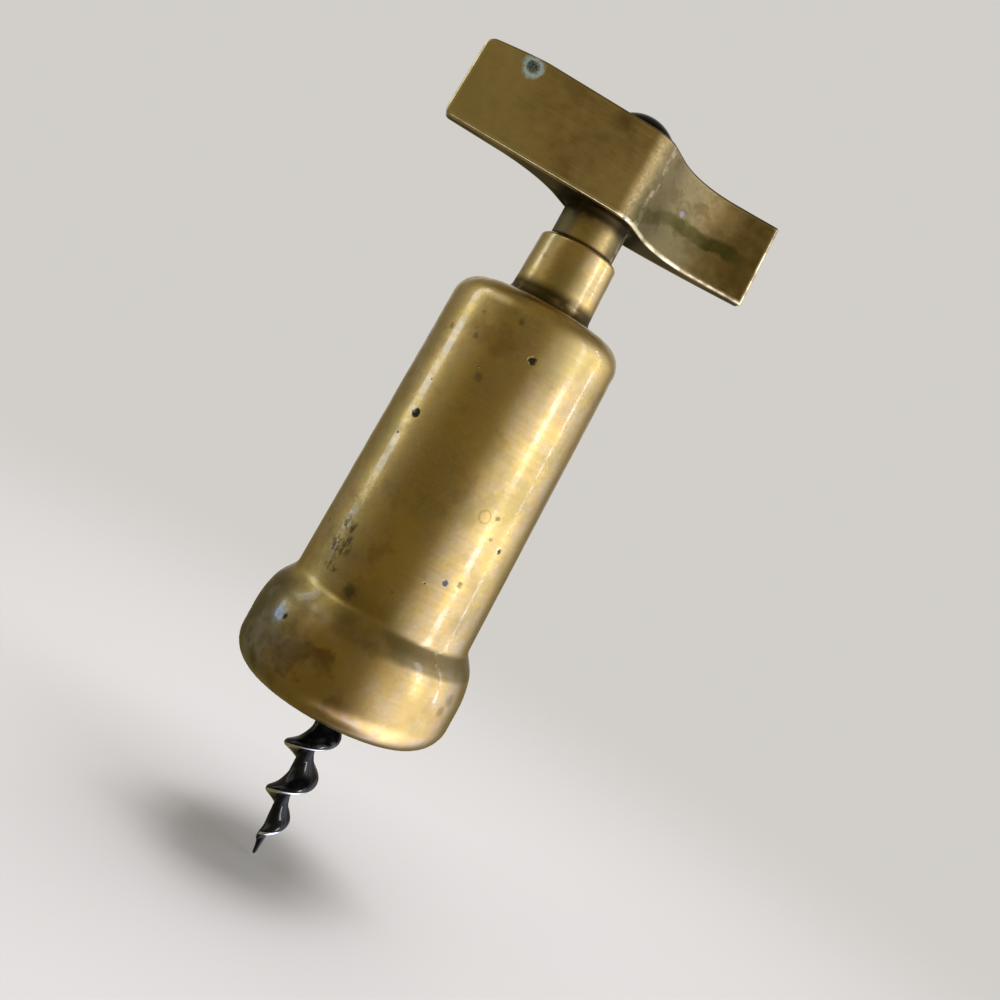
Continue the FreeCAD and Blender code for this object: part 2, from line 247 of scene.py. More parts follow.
class Finish(Nodes):
    """One procedural surface. It reads Object coordinates, so its sizes are real."""

    def __init__(self, name):
        self.material = bpy.data.materials.new(name)
        self.material.use_nodes = True
        super().__init__(self.material.node_tree)
        self.place = self.add("ShaderNodeTexCoord", output="Object")

    def axes(self):
        """x, y and z of the place, in mm."""
        return [
            self.add("ShaderNodeSeparateXYZ", None, {0: self.place}, output=axis) * (1 / MM)
            for axis in "XYZ"
        ]

    def grain(
        self, size, detail=3.0, roughness=0.55, stretch=(1, 1, 1), turned=(0, 0, 0), shift=0.0
    ):
        """Noise from 0 to 1 in patches of about a size in mm, drawn out where stretch is small."""
        vector = self.add(
            "ShaderNodeMapping", None,
            {
                "Vector": self.place, "Location": (shift, shift, shift),
                "Rotation": turned, "Scale": stretch,
            },
        )
        return self.add(
            "ShaderNodeTexNoise", None,
            {"Vector": vector, "Scale": 1 / (size * MM), "Detail": detail, "Roughness": roughness},
        )

    def spot(self, place, radius, blur=0.3, ragged=0.35):
        """1 inside a ragged round spot at a place in mm, 0 outside it."""
        point = tuple(c * MM for c in place)
        away = self.add(
            "ShaderNodeVectorMath", {"operation": "DISTANCE"}, {0: self.place, 1: point}, output=1
        )
        wobble = (self.grain(radius, 2) - 0.5) * (2 * ragged * radius)
        return (away * (1 / MM) + wobble).eased(radius * (1 + blur), radius * (1 - blur))

    def spots(self, table, blur, ragged):
        """1 inside any spot of a table of x, y, z and radius."""
        joined = None
        for *place, radius in table:
            one = self.spot(place, radius, blur, ragged)
            joined = joined.either(one) if joined else one
        return joined

    def specks(self, spacing, radius, share, shift=0.0):
        """Small dots at random places, about spacing apart, on the given share of the surface."""
        vector = self.add(
            "ShaderNodeMapping", None, {"Vector": self.place, "Location": (shift, 0, shift)}
        )
        away = self.add(
            "ShaderNodeTexVoronoi", {"feature": "F1"},
            {"Vector": vector, "Scale": 1 / (spacing * MM), "Randomness": 1.0}, output="Distance",
        )
        limit = 0.62 - 0.3 * share
        patch = self.grain(spacing * 4, 2, shift=shift + 0.3).eased(limit, limit + 0.04)
        return (away * spacing).eased(radius * 1.3, radius * 0.6) * patch

    def mixed(self, under, over, amount):
        """Colour under, covered by colour over where amount is 1."""
        return self.add(
            "ShaderNodeMix", {"data_type": "RGBA"}, {0: amount, 6: under, 7: over}, output=2
        )

    def finished(self, colour, roughness, relief, metallic=1.0, **constants):
        """Closes the material. relief is a height in mm; constants go on the shader's sockets."""
        bump = self.add("ShaderNodeBump", None, {"Height": relief, "Strength": 1.0, "Distance": MM})
        sockets = {
            "Base Color": colour, "Roughness": roughness, "Metallic": metallic, "Normal": bump,
        }
        sockets.update({name.replace("_", " "): value for name, value in constants.items()})
        shader = self.add("ShaderNodeBsdfPrincipled", None, sockets)
        self.add("ShaderNodeOutputMaterial", None, {"Surface": shader})
        return self.material


def dressed(made, body, slot, material, *nodes):
    """Gives a new piece its finish, and has it ride on a body in place of CAD nodes."""
    made.data.materials.append(material)
    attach(made, body)
    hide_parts(*nodes)


GOLD = tint(206, 174, 106)
TARNISHED_GOLD = tint(174, 141, 78)
RUBBED_GOLD = tint(216, 192, 136)
OLIVE_FILM = tint(158, 140, 84)
BROWN_FILM = tint(150, 116, 66)
LIP_FILM = tint(176, 144, 88)
LIP_BLOTCH = tint(112, 78, 44)
LIP_SHADE = tint(84, 76, 52)
FLARE_SHADE = tint(96, 84, 46)
FLARE_DARK_REFLECTION = tint(112, 84, 38)
CORNER_SHADE_AND_DIRT = tint(52, 40, 16)
DARK_PATINA = tint(60, 58, 42)
BLUE_STAIN = tint(92, 104, 120)
PIT_BLACK = tint(30, 26, 16)
RING_BROWN = tint(120, 98, 58)

FLARE_MIDDLE = 3.1          # height
COLLAR_FOOT = (8.9, 69.0)   # radius and height
# x, y, z and radius of marks on the surface
PATINA = [(-12.98, -12.07, 17.2, 1.7), (-12.44, -12.76, 13.7, 2.6), (-12.41, -12.89, 10.4, 1.9)]
SMALL_MARKS = [
    (-14.1, -9.3, 56.6, 0.55), (-9.7, -13.9, 56.7, 0.5), (-6.0, -15.95, 50.6, 0.8),
    (-4.1, -16.3, 62.4, 0.6), (-16.6, -6.4, 15.9, 0.5), (8.8, -15.1, 30.8, 0.5),
    (8.6, -15.5, 17.5, 0.6),
]
LARGEST_PIT = [(-12.36, -12.07, 40.04, 0.86)]
OTHER_PITS = [
    (0.6, -16.9, 57.41, 0.68), (12.24, -12.62, 25.64, 0.42), (6.0, -16.72, 16.74, 0.5),
    (-15.11, -14.62, -1.68, 0.5), (-12.75, -11.44, 46.6, 0.2), (-13.49, -10.93, 35.61, 0.22),
]
RING_PLACE = (6.6, -16.18, 30.06)       # middle of a faint ring mark
RING_OUTSIDE = 1.3
RING_INSIDE = 1.0


def bell_finish():
    """Aged brass: tarnish, turning marks, pits and stains, dirt and painted shade where the outline
    turns in.
    """
    brass = Finish("aged_brass_turned")
    x, y, z = brass.axes()
    radius = (x * x + y * y) ** 0.5
    clouds = brass.grain(16, 3)
    mottle = brass.grain(3.2, 5)
    fine = brass.grain(0.7, 3)
    rings = brass.grain(0.5, 3, stretch=(0.02, 0.02, 1))

    # thin films over the whole bell
    tarnish = (clouds * 0.8 + mottle * 0.5 + rings * 0.3).eased(0.62, 1.02)
    colour = brass.mixed(GOLD, TARNISHED_GOLD, tarnish)
    colour = brass.mixed(colour, RUBBED_GOLD, (fine + rings).eased(1.05, 1.35) * 0.35)
    olive = brass.grain(11, 4, 0.65, shift=2.0).eased(0.46, 0.64)
    colour = brass.mixed(colour, OLIVE_FILM, olive * 0.55)
    brown = brass.grain(7, 5, 0.65, shift=4.0).eased(0.54, 0.68)
    colour = brass.mixed(colour, BROWN_FILM, brown * 0.45)

    # the lip, handled most: browner and blotched at the front; painted shade darkens its left side
    lip = z.eased(WAIST_HEIGHT, WAIST_HEIGHT - 4)
    colour = brass.mixed(colour, LIP_FILM, lip * (0.25 + clouds * 0.4))
    blotches = brass.grain(7, 4, shift=0.7).eased(0.5, 0.64) * lip * x.eased(8, -6)
    colour = brass.mixed(colour, LIP_BLOTCH, blotches * 0.6)
    colour = brass.mixed(colour, LIP_SHADE, lip * x.eased(-9, -18) * 0.8)

    # painted shade on the flare, thickest at the right; dirt and painted shade round the foot of the
    # collar
    from_flare = (z - FLARE_MIDDLE) * (z - FLARE_MIDDLE)
    flare_shade = from_flare.eased(7.5, 1.5) * brass.grain(9, 3, shift=0.2).eased(0.3, 0.6)
    flare_shade = flare_shade.either(from_flare.eased(6, 2) * x.eased(0, 8) * y.eased(2, -6))
    from_foot = ((radius - COLLAR_FOOT[0]) ** 2.0 + (z - COLLAR_FOOT[1]) ** 2.0) ** 0.5
    corner_shade_and_dirt = from_foot.eased(3.6, 1.6) * brass.grain(5, 3, shift=0.4).eased(0.1, 0.45)
    colour = brass.mixed(colour, FLARE_SHADE, flare_shade * 0.7)
    colour = brass.mixed(colour, CORNER_SHADE_AND_DIRT, corner_shade_and_dirt * 0.9)

    # marks, placed one by one, with smudges at random between them, and a painted dark reflection on
    # the flare
    flakes = brass.grain(1.3, 5, 0.7, stretch=(1, 1, 0.6)).eased(0.4, 0.6)
    patina = brass.spots(PATINA, 0.6, 0.9) * (0.4 + flakes * 0.6)
    haze = brass.spot((-12.6, -12.4, 14.0), 5.4, 0.8, 0.9) * (0.2 + mottle * 0.55)
    stain = brass.spot((-16.4, -13.3, -1.8), 1.5, 0.5, 0.6)
    dark_spot = brass.spot((16.75, -13.47, -4.3), 1.0, 0.5)
    olive_spot = brass.spot((17.39, -11.93, -2.0), 1.2, 0.6, 0.6) * 0.5
    brown_spot = brass.spot((-7.7, -16.2, 7.6), 1.2, 0.6, 0.9) * 0.8
    # a painted dark reflection across the middle of the flare
    flare_dark_reflection = brass.spot((-3.5, -18.6, 3.8), 5.5, 0.7, 0.6) * (0.4 + mottle * 0.6)
    smudges = brass.specks(6.5, 0.6, 0.35) * brass.grain(0.5, 3).eased(0.42, 0.6)
    marks = patina.either(haze).either(dark_spot * 0.5).either(olive_spot).either(brown_spot)
    marks = marks.either(smudges * 0.6).either(brass.spots(SMALL_MARKS, 0.5, 0.9) * 0.6)
    colour = brass.mixed(colour, FLARE_DARK_REFLECTION, flare_dark_reflection * 0.75)
    colour = brass.mixed(colour, DARK_PATINA, marks * 0.85)
    colour = brass.mixed(colour, BLUE_STAIN, stain * 0.8)

    pits = brass.spots(LARGEST_PIT, 0.2, 0.35).either(brass.spots(OTHER_PITS, 0.35, 0.7))
    pits = pits.either(brass.specks(8.0, 0.2, 0.3, shift=0.9) * 0.8)
    colour = brass.mixed(colour, PIT_BLACK, pits)
    ring = (
        brass.spot(RING_PLACE, RING_OUTSIDE, 0.15, 0.1)
        - brass.spot(RING_PLACE, RING_INSIDE, 0.15, 0.1)
    )
    colour = brass.mixed(colour, RING_BROWN, ring * 0.5)

    shade_and_dirt = corner_shade_and_dirt.either(flare_shade * 0.5)
    scratches = brass.grain(0.35, 1, stretch=(1, 1, 0.05), turned=(0.4, 0.9, 0.3)).eased(0.7, 0.78)
    dull = tarnish * 0.05 + shade_and_dirt * 0.2 + marks * 0.18 + pits * 0.3
    roughness = 0.25 + rings * 0.06 + mottle * 0.08 + olive * 0.05 + dull
    shine = (clouds * 0.6 + mottle * 0.9 + fine * 0.2).eased(0.72, 0.98)
    shine = shine * (1 - shade_and_dirt) * (1 - marks) * (1 - olive * 0.6)
    relief = (
        rings * 0.004 + mottle * 0.02 + clouds * 0.05
        - scratches * 0.003 - pits * 0.12 - marks * 0.006 - stain * 0.006
    )
    return brass.finished(
        colour, roughness, relief, Coat_Weight=shine, Coat_Roughness=0.1, Coat_IOR=1.85
    )


bell_profile = divided(rounded_path(BELL_CORNERS, closed=True), LONGEST_STEP)
bell = piece("bell_turned", revolved(bell_profile, BELL_AROUND), closed_rows=True)
dressed(bell, "bell", "aged_brass", bell_finish(), "bell")

# --------------------------------------------------------------------------------------------------
# The thrust washer. A plain bronze ring between collar and hub, sunk in the hub, so that it shows
# only as the dark line between them. It is stamped, oiled and dark with wear.

BRONZE = tint(150, 112, 70)
OILED_BRONZE = tint(88, 64, 40)


def washer_finish():
    """Bronze, rubbed in rings, with dark oil in the marks."""
    bronze = Finish("oiled_bronze")
    rubbed = bronze.grain(1.5, 4, stretch=(0.3, 0.3, 1))
    colour = bronze.mixed(BRONZE, OILED_BRONZE, rubbed.eased(0.35, 0.65))
    return bronze.finished(colour, 0.3 + rubbed * 0.25, rubbed * 0.01)


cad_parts["thrust_washer"].data.materials[0] = washer_finish()

# --------------------------------------------------------------------------------------------------
# The handle. One brass casting, filed and polished: a block that a scoop from each side thins to a
# blade, and a turned hub under it. It is pushed on the worm's square tang and held by the nut in
# the pocket on top. Its faces are olive brown, its edges rubbed bright with painted highlights, and
# painted shade darkens its underside round the hub.

BLOCK_LOW = 88.15
BLOCK_HIGH = 104.8
HALF_THICKNESS = 9.4
BLADE_Y = 6.0               # of the scoop's face at the end of the right blade
ARM_LENGTH = 33.2           # along the bottom
END_SLANT = 0.7             # the ends lean in by this much from bottom to top
# plan of the front face: x, y and rounding, the scoop's large rounding between flank and blade
FRONT_FACE = [
    (-ARM_LENGTH, -HALF_THICKNESS, 0), (4.0, -HALF_THICKNESS, 5.5),
    (13.686, 4.432, 17.72), (ARM_LENGTH, BLADE_Y, 0),
]
PLAN_ARC_STEP = math.radians(0.5)
EDGE_ROUND = 0.55
WORN_EDGE_ROUND = 0.8       # lower front edge beside the scoop, rubbed by the fingers
LEFT_TOP_ROUND = 1.7
LEFT_BOTTOM_ROUND = 1.2
WEAR_START = 21.0           # from the axis, where the blades begin to show wear
WORN_DROP = 1.3             # of the left blade's top at its end
WORN_POWER = 1.3
RIGHT_RISE = 0.9            # of the right arm at its end, bent up by pulling
RISE_START = 8.0
RISE_POWER = 1.5
BLOCK_STATIONS = 190        # rings of points between the ends
HUB_FOOT = 81.3
HUB_R = 6.4
HUB_TOP = 89.4              # inside the block
HUB_CORNERS = [
    (0, HUB_FOOT, 0), (HUB_R, HUB_FOOT, 0.3), (HUB_R, BLOCK_LOW, 1.1),
    (7.6, BLOCK_LOW + 0.02, 0), (6.2, HUB_TOP, 0), (0, HUB_TOP, 0),
]
TANG_FOOT = 86.0
POCKET_FLOOR = 96.9
# height, radius and width over flats of the hole through the handle: for the thrust washer, the
# shank, the tang and the cap
HANDLE_HOLE = [
    (80.5, 0.0, 0), (80.5, 4.7, 0), (82.1, 4.7, 0), (82.1, 3.05, 0), (TANG_FOOT, 3.05, 0),
    (TANG_FOOT, 3.05, 5.05), (POCKET_FLOOR, 3.05, 5.05), (POCKET_FLOOR, 5.78, 0),
    (106.0, 5.78, 0), (106.0, 0.0, 0),
]
HOLE_AROUND = 96


def front_y(x):
    """y of the front face at x, in mm."""
    path = rounded_path(FRONT_FACE, closed=False, arc_step=PLAN_ARC_STEP)
    return np.interp(x, path[:, 0], path[:, 1])


def corner_drop(x, rounding):
    """How far a corner of the left end, rounded in the plane of the blade, falls back at x."""
    short = np.clip(rounding - (x + ARM_LENGTH), 0, rounding)
    return rounding - np.sqrt(rounding ** 2 - short ** 2)


def block_grid():
    """Rings of the block along x, each a rectangle in y and z with round corners.

    Along the corner arcs a point is centre + rounding (cos a, sin a); between them it moves on the
    straight side with steps that are short near the corners. At each end the rings shrink inwards,
    first along a quarter circle and then flat, until they meet in a line.
    """
    stations = np.linspace(-1, 1, BLOCK_STATIONS) * (ARM_LENGTH - EDGE_ROUND)
    quarter = np.linspace(0, math.pi / 2, 7)[1:]
    inner = np.linspace(0, 1, 6)[1:] ** 0.8
    end_x = ARM_LENGTH - EDGE_ROUND + EDGE_ROUND * np.sin(quarter)
    end_inset = EDGE_ROUND * (1 - np.cos(quarter))
    half_blade = (HALF_THICKNESS - BLADE_Y) / 2
    flat_inset = EDGE_ROUND + (half_blade - EDGE_ROUND) * inner
    flat_x = np.full(inner.size, ARM_LENGTH)
    x = np.concatenate([-flat_x, -end_x[::-1], stations, end_x, flat_x])
    inset = np.concatenate(
        [flat_inset[::-1], end_inset[::-1], 0 * stations, end_inset, flat_inset]
    )

    low_y = front_y(x) + inset
    high_y = -front_y(-x) - inset
    low_z = BLOCK_LOW + corner_drop(x, LEFT_BOTTOM_ROUND) + inset
    high_z = BLOCK_HIGH - corner_drop(x, LEFT_TOP_ROUND) - inset
    middle = (low_y + high_y) / 2
    low_y, high_y = np.minimum(low_y, middle), np.maximum(high_y, middle)
    worn = np.clip((x - 2) / 4, 0, 1) * np.clip((ARM_LENGTH - x) / 4, 0, 1)
    plain_round = np.full(x.size, EDGE_ROUND)
    front_low_round = EDGE_ROUND + (WORN_EDGE_ROUND - EDGE_ROUND) * worn

    # y, z, the way inwards along each, and the rounding
    corners = [
        (low_y, low_z, 1, 1, front_low_round), (high_y, low_z, -1, 1, plain_round),
        (high_y, high_z, -1, -1, plain_round), (low_y, high_z, 1, -1, plain_round),
    ]
    arcs = []
    for index, (y, z, y_in, z_in, rounding) in enumerate(corners):
        rounding = np.maximum(np.minimum(rounding - inset, (high_y - low_y) / 2), 0)[:, None]
        angle = math.pi + (index + np.linspace(0, 1, 8)) * math.pi / 2
        arcs.append(np.stack([
            y[:, None] + rounding * (y_in + np.cos(angle)),
            z[:, None] + rounding * (z_in + np.sin(angle)),
        ], axis=-1))
    ring = []
    for index, arc in enumerate(arcs):
        count = 12 if index % 2 == 0 else 22        # points on the short and the long sides
        share = (1 - np.cos(np.linspace(0, math.pi, count + 2)[1:-1])) / 2
        following = arcs[(index + 1) % 4][:, :1]
        ring += [arc, arc[:, -1:] + (following - arc[:, -1:]) * share[None, :, None]]
    ring = np.concatenate(ring, axis=1)
    return np.concatenate(
        [np.broadcast_to(x[:, None, None], (*ring.shape[:2], 1)), ring], axis=-1
    )


def stepped_bar(stations, around, first_turn=0.0):
    """Grid of a bar or hole on the axis from (height, radius, width over flats) stations.

    The radius at an angle is the smaller of the round one and half the width over the larger of
    |cos| and |sin|; a width of 0 stands for no flats. The flats face along X and Y, and the first
    column of points stands at first_turn.
    """
    turn = np.linspace(0, 2 * math.pi, around, endpoint=False) + first_turn
    height, round_radius, flats = np.array(stations, float).T[:, :, None]
    square = flats / 2 / np.maximum(np.abs(np.cos(turn)), np.abs(np.sin(turn)))
    radius = np.where(flats > 0, np.minimum(round_radius, square), round_radius + 0 * turn)
    return np.stack([radius * np.cos(turn), radius * np.sin(turn), height + 0 * turn], axis=-1)


def joined_with(made, other, operation):
    """Joins or cuts one closed piece with another and keeps the result as the first one's mesh."""
    step = made.modifiers.new(operation.lower(), "BOOLEAN")
    step.operation = operation
    step.solver = "EXACT"
    step.object = other
    result = made.evaluated_get(bpy.context.evaluated_depsgraph_get())
    mesh = bpy.data.meshes.new_from_object(result)
    made.modifiers.clear()
    made.data = mesh
    bpy.data.objects.remove(other)


def points_of(mesh):
    """The places of a mesh's points as an array, in mm."""
    points = np.empty(len(mesh.vertices) * 3, np.float32)
    mesh.vertices.foreach_get("co", points)
    return points.reshape(-1, 3) / MM


def used_hard(mesh):
    """Gives the straight block the shape that casting and use left it.

    Its ends lean in towards the top, in step with the height. The top of the left blade is worn
    down by a share of the height that grows along x, and the right arm rises with a power of x.
    """
    x, y, z = points_of(mesh).T
    up = np.clip((z - BLOCK_LOW) / (BLOCK_HIGH - BLOCK_LOW), 0, 1)
    near_end = np.clip((np.abs(x) - WEAR_START) / (ARM_LENGTH - WEAR_START), 0, 1)
    lean = np.sign(x) * END_SLANT * up * near_end
    worn = np.where(x < 0, WORN_DROP * near_end ** WORN_POWER * up, 0)
    along = np.clip((x - RISE_START) / (ARM_LENGTH - RISE_START), 0, 1)
    rise = RIGHT_RISE * along ** RISE_POWER
    moved = np.stack([x - lean, y, z - worn + rise], axis=-1) * MM
    mesh.vertices.foreach_set("co", moved.astype(np.float32).ravel())
    mesh.update()


def edge_distances(mesh):
    """Stores how far each point of the block is from its nearest edge, in mm.

    It is the combined length of the two smallest distances from the point to the block's faces.
    The hub gets a distance that is far from any edge.
    """
    x, y, z = points_of(mesh).T
    sides = np.stack([
        ARM_LENGTH - np.abs(x),
        np.minimum(y - front_y(x), -front_y(-x) - y),
        np.minimum(
            z - BLOCK_LOW - corner_drop(x, LEFT_BOTTOM_ROUND),
            BLOCK_HIGH - corner_drop(x, LEFT_TOP_ROUND) - z,
        ),
    ])
    nearest = np.sort(np.abs(sides), axis=0)
    away = np.where(z < BLOCK_LOW - 0.05, 10, np.hypot(nearest[0], nearest[1]))
    attribute = mesh.attributes.new("edge_distance", "FLOAT", "POINT")
    attribute.data.foreach_set("value", away.astype(np.float32))


CAST_BRASS = tint(186, 158, 102)
TARNISHED_CAST = tint(150, 124, 74)
PALE_END = tint(206, 182, 122)
SCOOP_GREY = tint(126, 112, 78)
LOW_SCOOP_GREY = tint(98, 88, 56)
SMEAR_BROWN = tint(104, 82, 40)
VEIN_BROWN = tint(112, 92, 62)
BLADE_BROWN = tint(96, 74, 30)
BEND_HIGHLIGHT = tint(206, 190, 152)
SECOND_BEND_HIGHLIGHT = tint(200, 184, 146)
REFLECTED_BAND_GREEN = tint(74, 68, 28)
HUB_SHADE_AND_DIRT = tint(44, 36, 18)
RUBBED_EDGE_AND_HIGHLIGHT = tint(240, 222, 176)
TOP_EDGE_SHADE = tint(70, 56, 26)
VERDIGRIS_HALO = tint(150, 184, 190)
VERDIGRIS_CORE = tint(30, 46, 42)
VERDIGRIS_CRUMB = tint(84, 106, 98)
LILAC_SPOT = tint(196, 190, 206)
BLUE_HIGHLIGHT_SPOT = tint(200, 210, 220)
SMUDGE_BROWN = tint(92, 70, 34)
SPECK_BROWN = tint(40, 32, 18)
VERDIGRIS_PLACE = (-23.41, -HALF_THICKNESS, 102.65)


def handle_finish():
    """Cast brass: olive faces, thumb-worn scoops and verdigris; painted highlights on edges and
    bends, painted shade under the block and a painted green reflection band.
    """
    brass = Finish("dark_brass_cast")
    x, y, z = brass.axes()
    edge = brass.add("ShaderNodeAttribute", {"attribute_name": "edge_distance"}, output="Fac")
    clouds = brass.grain(11, 3)
    mottle = brass.grain(2.2, 5)
    fine = brass.grain(0.5, 3)
    brushed = brass.grain(0.45, 3, stretch=(0.12, 1, 1), turned=(0, 0.25, 0))
    tarnish = (clouds * 0.7 + mottle * 0.5 + brushed * 0.3).eased(0.55, 0.95)
    colour = brass.mixed(CAST_BRASS, TARNISHED_CAST, tarnish)
    colour = brass.mixed(colour, PALE_END, x.eased(-12, -30) * 0.5)

    # the scoops: grey with thumb wear near the hub, smeared and veined, brown on the blades, with
    # painted highlights along their bends
    front_scoop = x.eased(2.5, 5.0) * y.eased(8.6, 7.6)
    back_scoop = x.eased(-2.5, -5.0) * y.eased(-8.6, -7.6)
    scoop = front_scoop.either(back_scoop)
    worn_scoop = scoop * (x * x).eased(560, 200)
    colour = brass.mixed(colour, SCOOP_GREY, worn_scoop * (0.65 + clouds * 0.5))
    colour = brass.mixed(colour, LOW_SCOOP_GREY, worn_scoop * z.eased(101, 92) * 0.65)
    smears = brass.grain(3.5, 4, shift=0.3, stretch=(0.5, 1, 1)).eased(0.5, 0.62)
    colour = brass.mixed(colour, SMEAR_BROWN, scoop * smears * 0.25)
    veins = brass.grain(1.7, 5, 0.7, shift=1.1).eased(0.5, 0.6)
    colour = brass.mixed(colour, VEIN_BROWN, worn_scoop * veins * 0.35)
    blade = scoop * (x * x).eased(300, 800)
    colour = brass.mixed(colour, BLADE_BROWN, blade * (0.6 + mottle * 0.6))
    # painted highlights, speckled, along the scoop's bend and a second bend on the front scoop
    bend = x.eased(1.6, 2.6) * x.eased(4.4, 3.2) * y.eased(0.0, -2.0)
    bend = bend * z.eased(BLOCK_LOW, BLOCK_LOW + 0.6)
    colour = brass.mixed(colour, BEND_HIGHLIGHT, bend * fine.eased(0.45, 0.62) * 0.4)
    second_bend = x.eased(5.2, 5.8) * x.eased(6.8, 6.2) * front_scoop
    colour = brass.mixed(colour, SECOND_BEND_HIGHLIGHT, second_bend * mottle.eased(0.45, 0.58) * 0.6)

    # a painted reflection: a dark green band that climbs along the front scoop
    reflected_band_middle = 91.0 + (x - 5.0).eased(0, 8) * 4.2 + (x - 12.0).eased(0, 18) * 1.3
    from_reflected_band = z - reflected_band_middle + (brass.grain(2.5, 4, shift=0.8) - 0.5) * 2.4
    reflected_band = (from_reflected_band * from_reflected_band).eased(3.4, 0.5) * x.eased(3.6, 6.0) * x.eased(31.5, 26)
    reflected_band = reflected_band * front_scoop * (0.7 + x.eased(10, 22) * 0.3) * (0.75 + mottle * 0.5)
    colour = brass.mixed(colour, REFLECTED_BAND_GREEN, reflected_band * 0.9)

    # painted shade round the top of the hub under the block, and dirt at the joint with the collar
    under = z.eased(BLOCK_LOW + 1.2, BLOCK_LOW - 0.1) * z.eased(84.6, 87.0)
    under = under * (x * x).eased(110, 60)
    hub_shade = under * brass.grain(3, 3, shift=0.6).eased(0.2, 0.5) * edge.eased(0.5, 1.4)
    shade_and_dirt = hub_shade.either(z.eased(82.0, 81.4) * 0.8)
    colour = brass.mixed(colour, HUB_SHADE_AND_DIRT, shade_and_dirt * 0.9)

    # edges: rubbed bright by hands, with a painted highlight mostly on the low edges and the ends,
    # and a painted shade line along the top
    low_edges = z.eased(96, 91).either(x.eased(-31, -32.6)).either(x.eased(31, 32.6))
    rubbed = edge.eased(0.95, 0.35) * (0.35 + mottle.eased(0.35, 0.6) * 0.65)
    rubbed = rubbed * (0.15 + low_edges * 0.85)
    colour = brass.mixed(colour, RUBBED_EDGE_AND_HIGHLIGHT, rubbed * 0.8)
    top_edge_shade = edge.eased(0.5, 0.2) * z.eased(BLOCK_HIGH - 2.2, BLOCK_HIGH - 1.0)
    colour = brass.mixed(colour, TOP_EDGE_SHADE, top_edge_shade * 0.6)

    # verdigris and single spots, one of them a painted highlight by the hub
    halo = brass.spot(VERDIGRIS_PLACE, 1.9, 0.25, 0.45) - brass.spot(VERDIGRIS_PLACE, 1.1, 0.3, 0.4)
    halo = halo * brass.grain(0.9, 4).eased(0.25, 0.48)
    core = brass.spot(VERDIGRIS_PLACE, 1.0, 0.35, 0.4)
    smear = brass.spot((-24.9, -HALF_THICKNESS, 103.1), 0.9, 0.5, 0.9) * 0.5
    colour = brass.mixed(colour, VERDIGRIS_HALO, halo.either(smear) * 0.8)
    crumbs = brass.grain(0.35, 3).eased(0.45, 0.6)
    colour = brass.mixed(colour, brass.mixed(VERDIGRIS_CORE, VERDIGRIS_CRUMB, crumbs), core)
    lilac_spot = brass.spot((13.8, 2.2, 97.4), 0.6, 0.4)
    blue_highlight_spot = brass.spot((3.5, -9.0, 88.4), 0.45, 0.4)
    colour = brass.mixed(colour, LILAC_SPOT, lilac_spot * 0.7)
    # painted highlight: a pale blue glint low on the front face by the hub
    colour = brass.mixed(colour, BLUE_HIGHLIGHT_SPOT, blue_highlight_spot * 0.7)
    high_smudge = brass.spot((-4.8, -HALF_THICKNESS, 103.0), 1.8, 0.9, 0.7)
    low_smudge = brass.spot((-7.5, -HALF_THICKNESS, 96.5), 3.0, 0.9, 0.9) * 0.35
    colour = brass.mixed(colour, SMUDGE_BROWN, high_smudge.either(low_smudge) * 0.6)
    pits = brass.specks(6.0, 0.18, 0.4, shift=0.5)
    colour = brass.mixed(colour, SPECK_BROWN, pits * 0.8)

    crust = halo.either(core).either(lilac_spot).either(blue_highlight_spot)
    roughness = (
        0.32 + mottle * 0.1 + brushed * 0.06 + worn_scoop * 0.12 + smears * scoop * 0.08
        + shade_and_dirt * 0.2 + crust * 0.3 + bend * 0.08 - rubbed * 0.2
    )
    relief = mottle * 0.02 + clouds * 0.08 + brushed * 0.004 + crust * 0.06 - pits * 0.04
    return brass.finished(colour, roughness, relief, 1.0 - crust * 0.85)


handle = piece("handle_cast", block_grid())
hub_path = rounded_path(HUB_CORNERS, closed=False)
joined_with(handle, piece("hub", revolved(hub_path, HOLE_AROUND)), "UNION")
joined_with(handle, piece("hole", stepped_bar(HANDLE_HOLE, HOLE_AROUND)), "DIFFERENCE")
closed_up(handle.data)
edge_distances(handle.data)
used_hard(handle.data)
dressed(handle, "handle", "dark_brass", handle_finish(), "handle")

# --------------------------------------------------------------------------------------------------
# The worm. One steel piece, ground and blacked: a right-handed flight on a thin core, tapering to a
# pin point, the round shank that runs in the collar, the square tang and the stud for the nut.

PITCH = 9.4
CREST_HEIGHT = -20.9        # a height at which the crest points along CREST_ANGLE
CREST_ANGLE = math.radians(-4.5)
SHANK_R = 3.0
FLIGHT_R = 4.74
CORE_R = 1.35
FLIGHT_TOP = 9.4
POINT_HEIGHT = -47.38
POINT_BEND = 0.9            # the point stands this far off the axis, towards the right
BEND_FORWARD = 0.12         # and this share of it towards the front
BEND_POWER = 1.2
# height, flight radius and core radius, from the shank down to the point
WORM_TAPER = [
    (8.6, SHANK_R, SHANK_R), (6.6, 3.02, 2.6), (3.0, FLIGHT_R, CORE_R), (-29.5, FLIGHT_R, CORE_R),
    (-35.0, 3.75, 1.15), (-39.3, 3.45, 0.95), (-42.0, 2.5, 0.78), (-43.2, 1.6, 0.66),
    (-44.0, 0.7, 0.6), (-46.9, 0.36, 0.36), (-47.25, 0.22, 0.22), (POINT_HEIGHT, 0, 0),
]
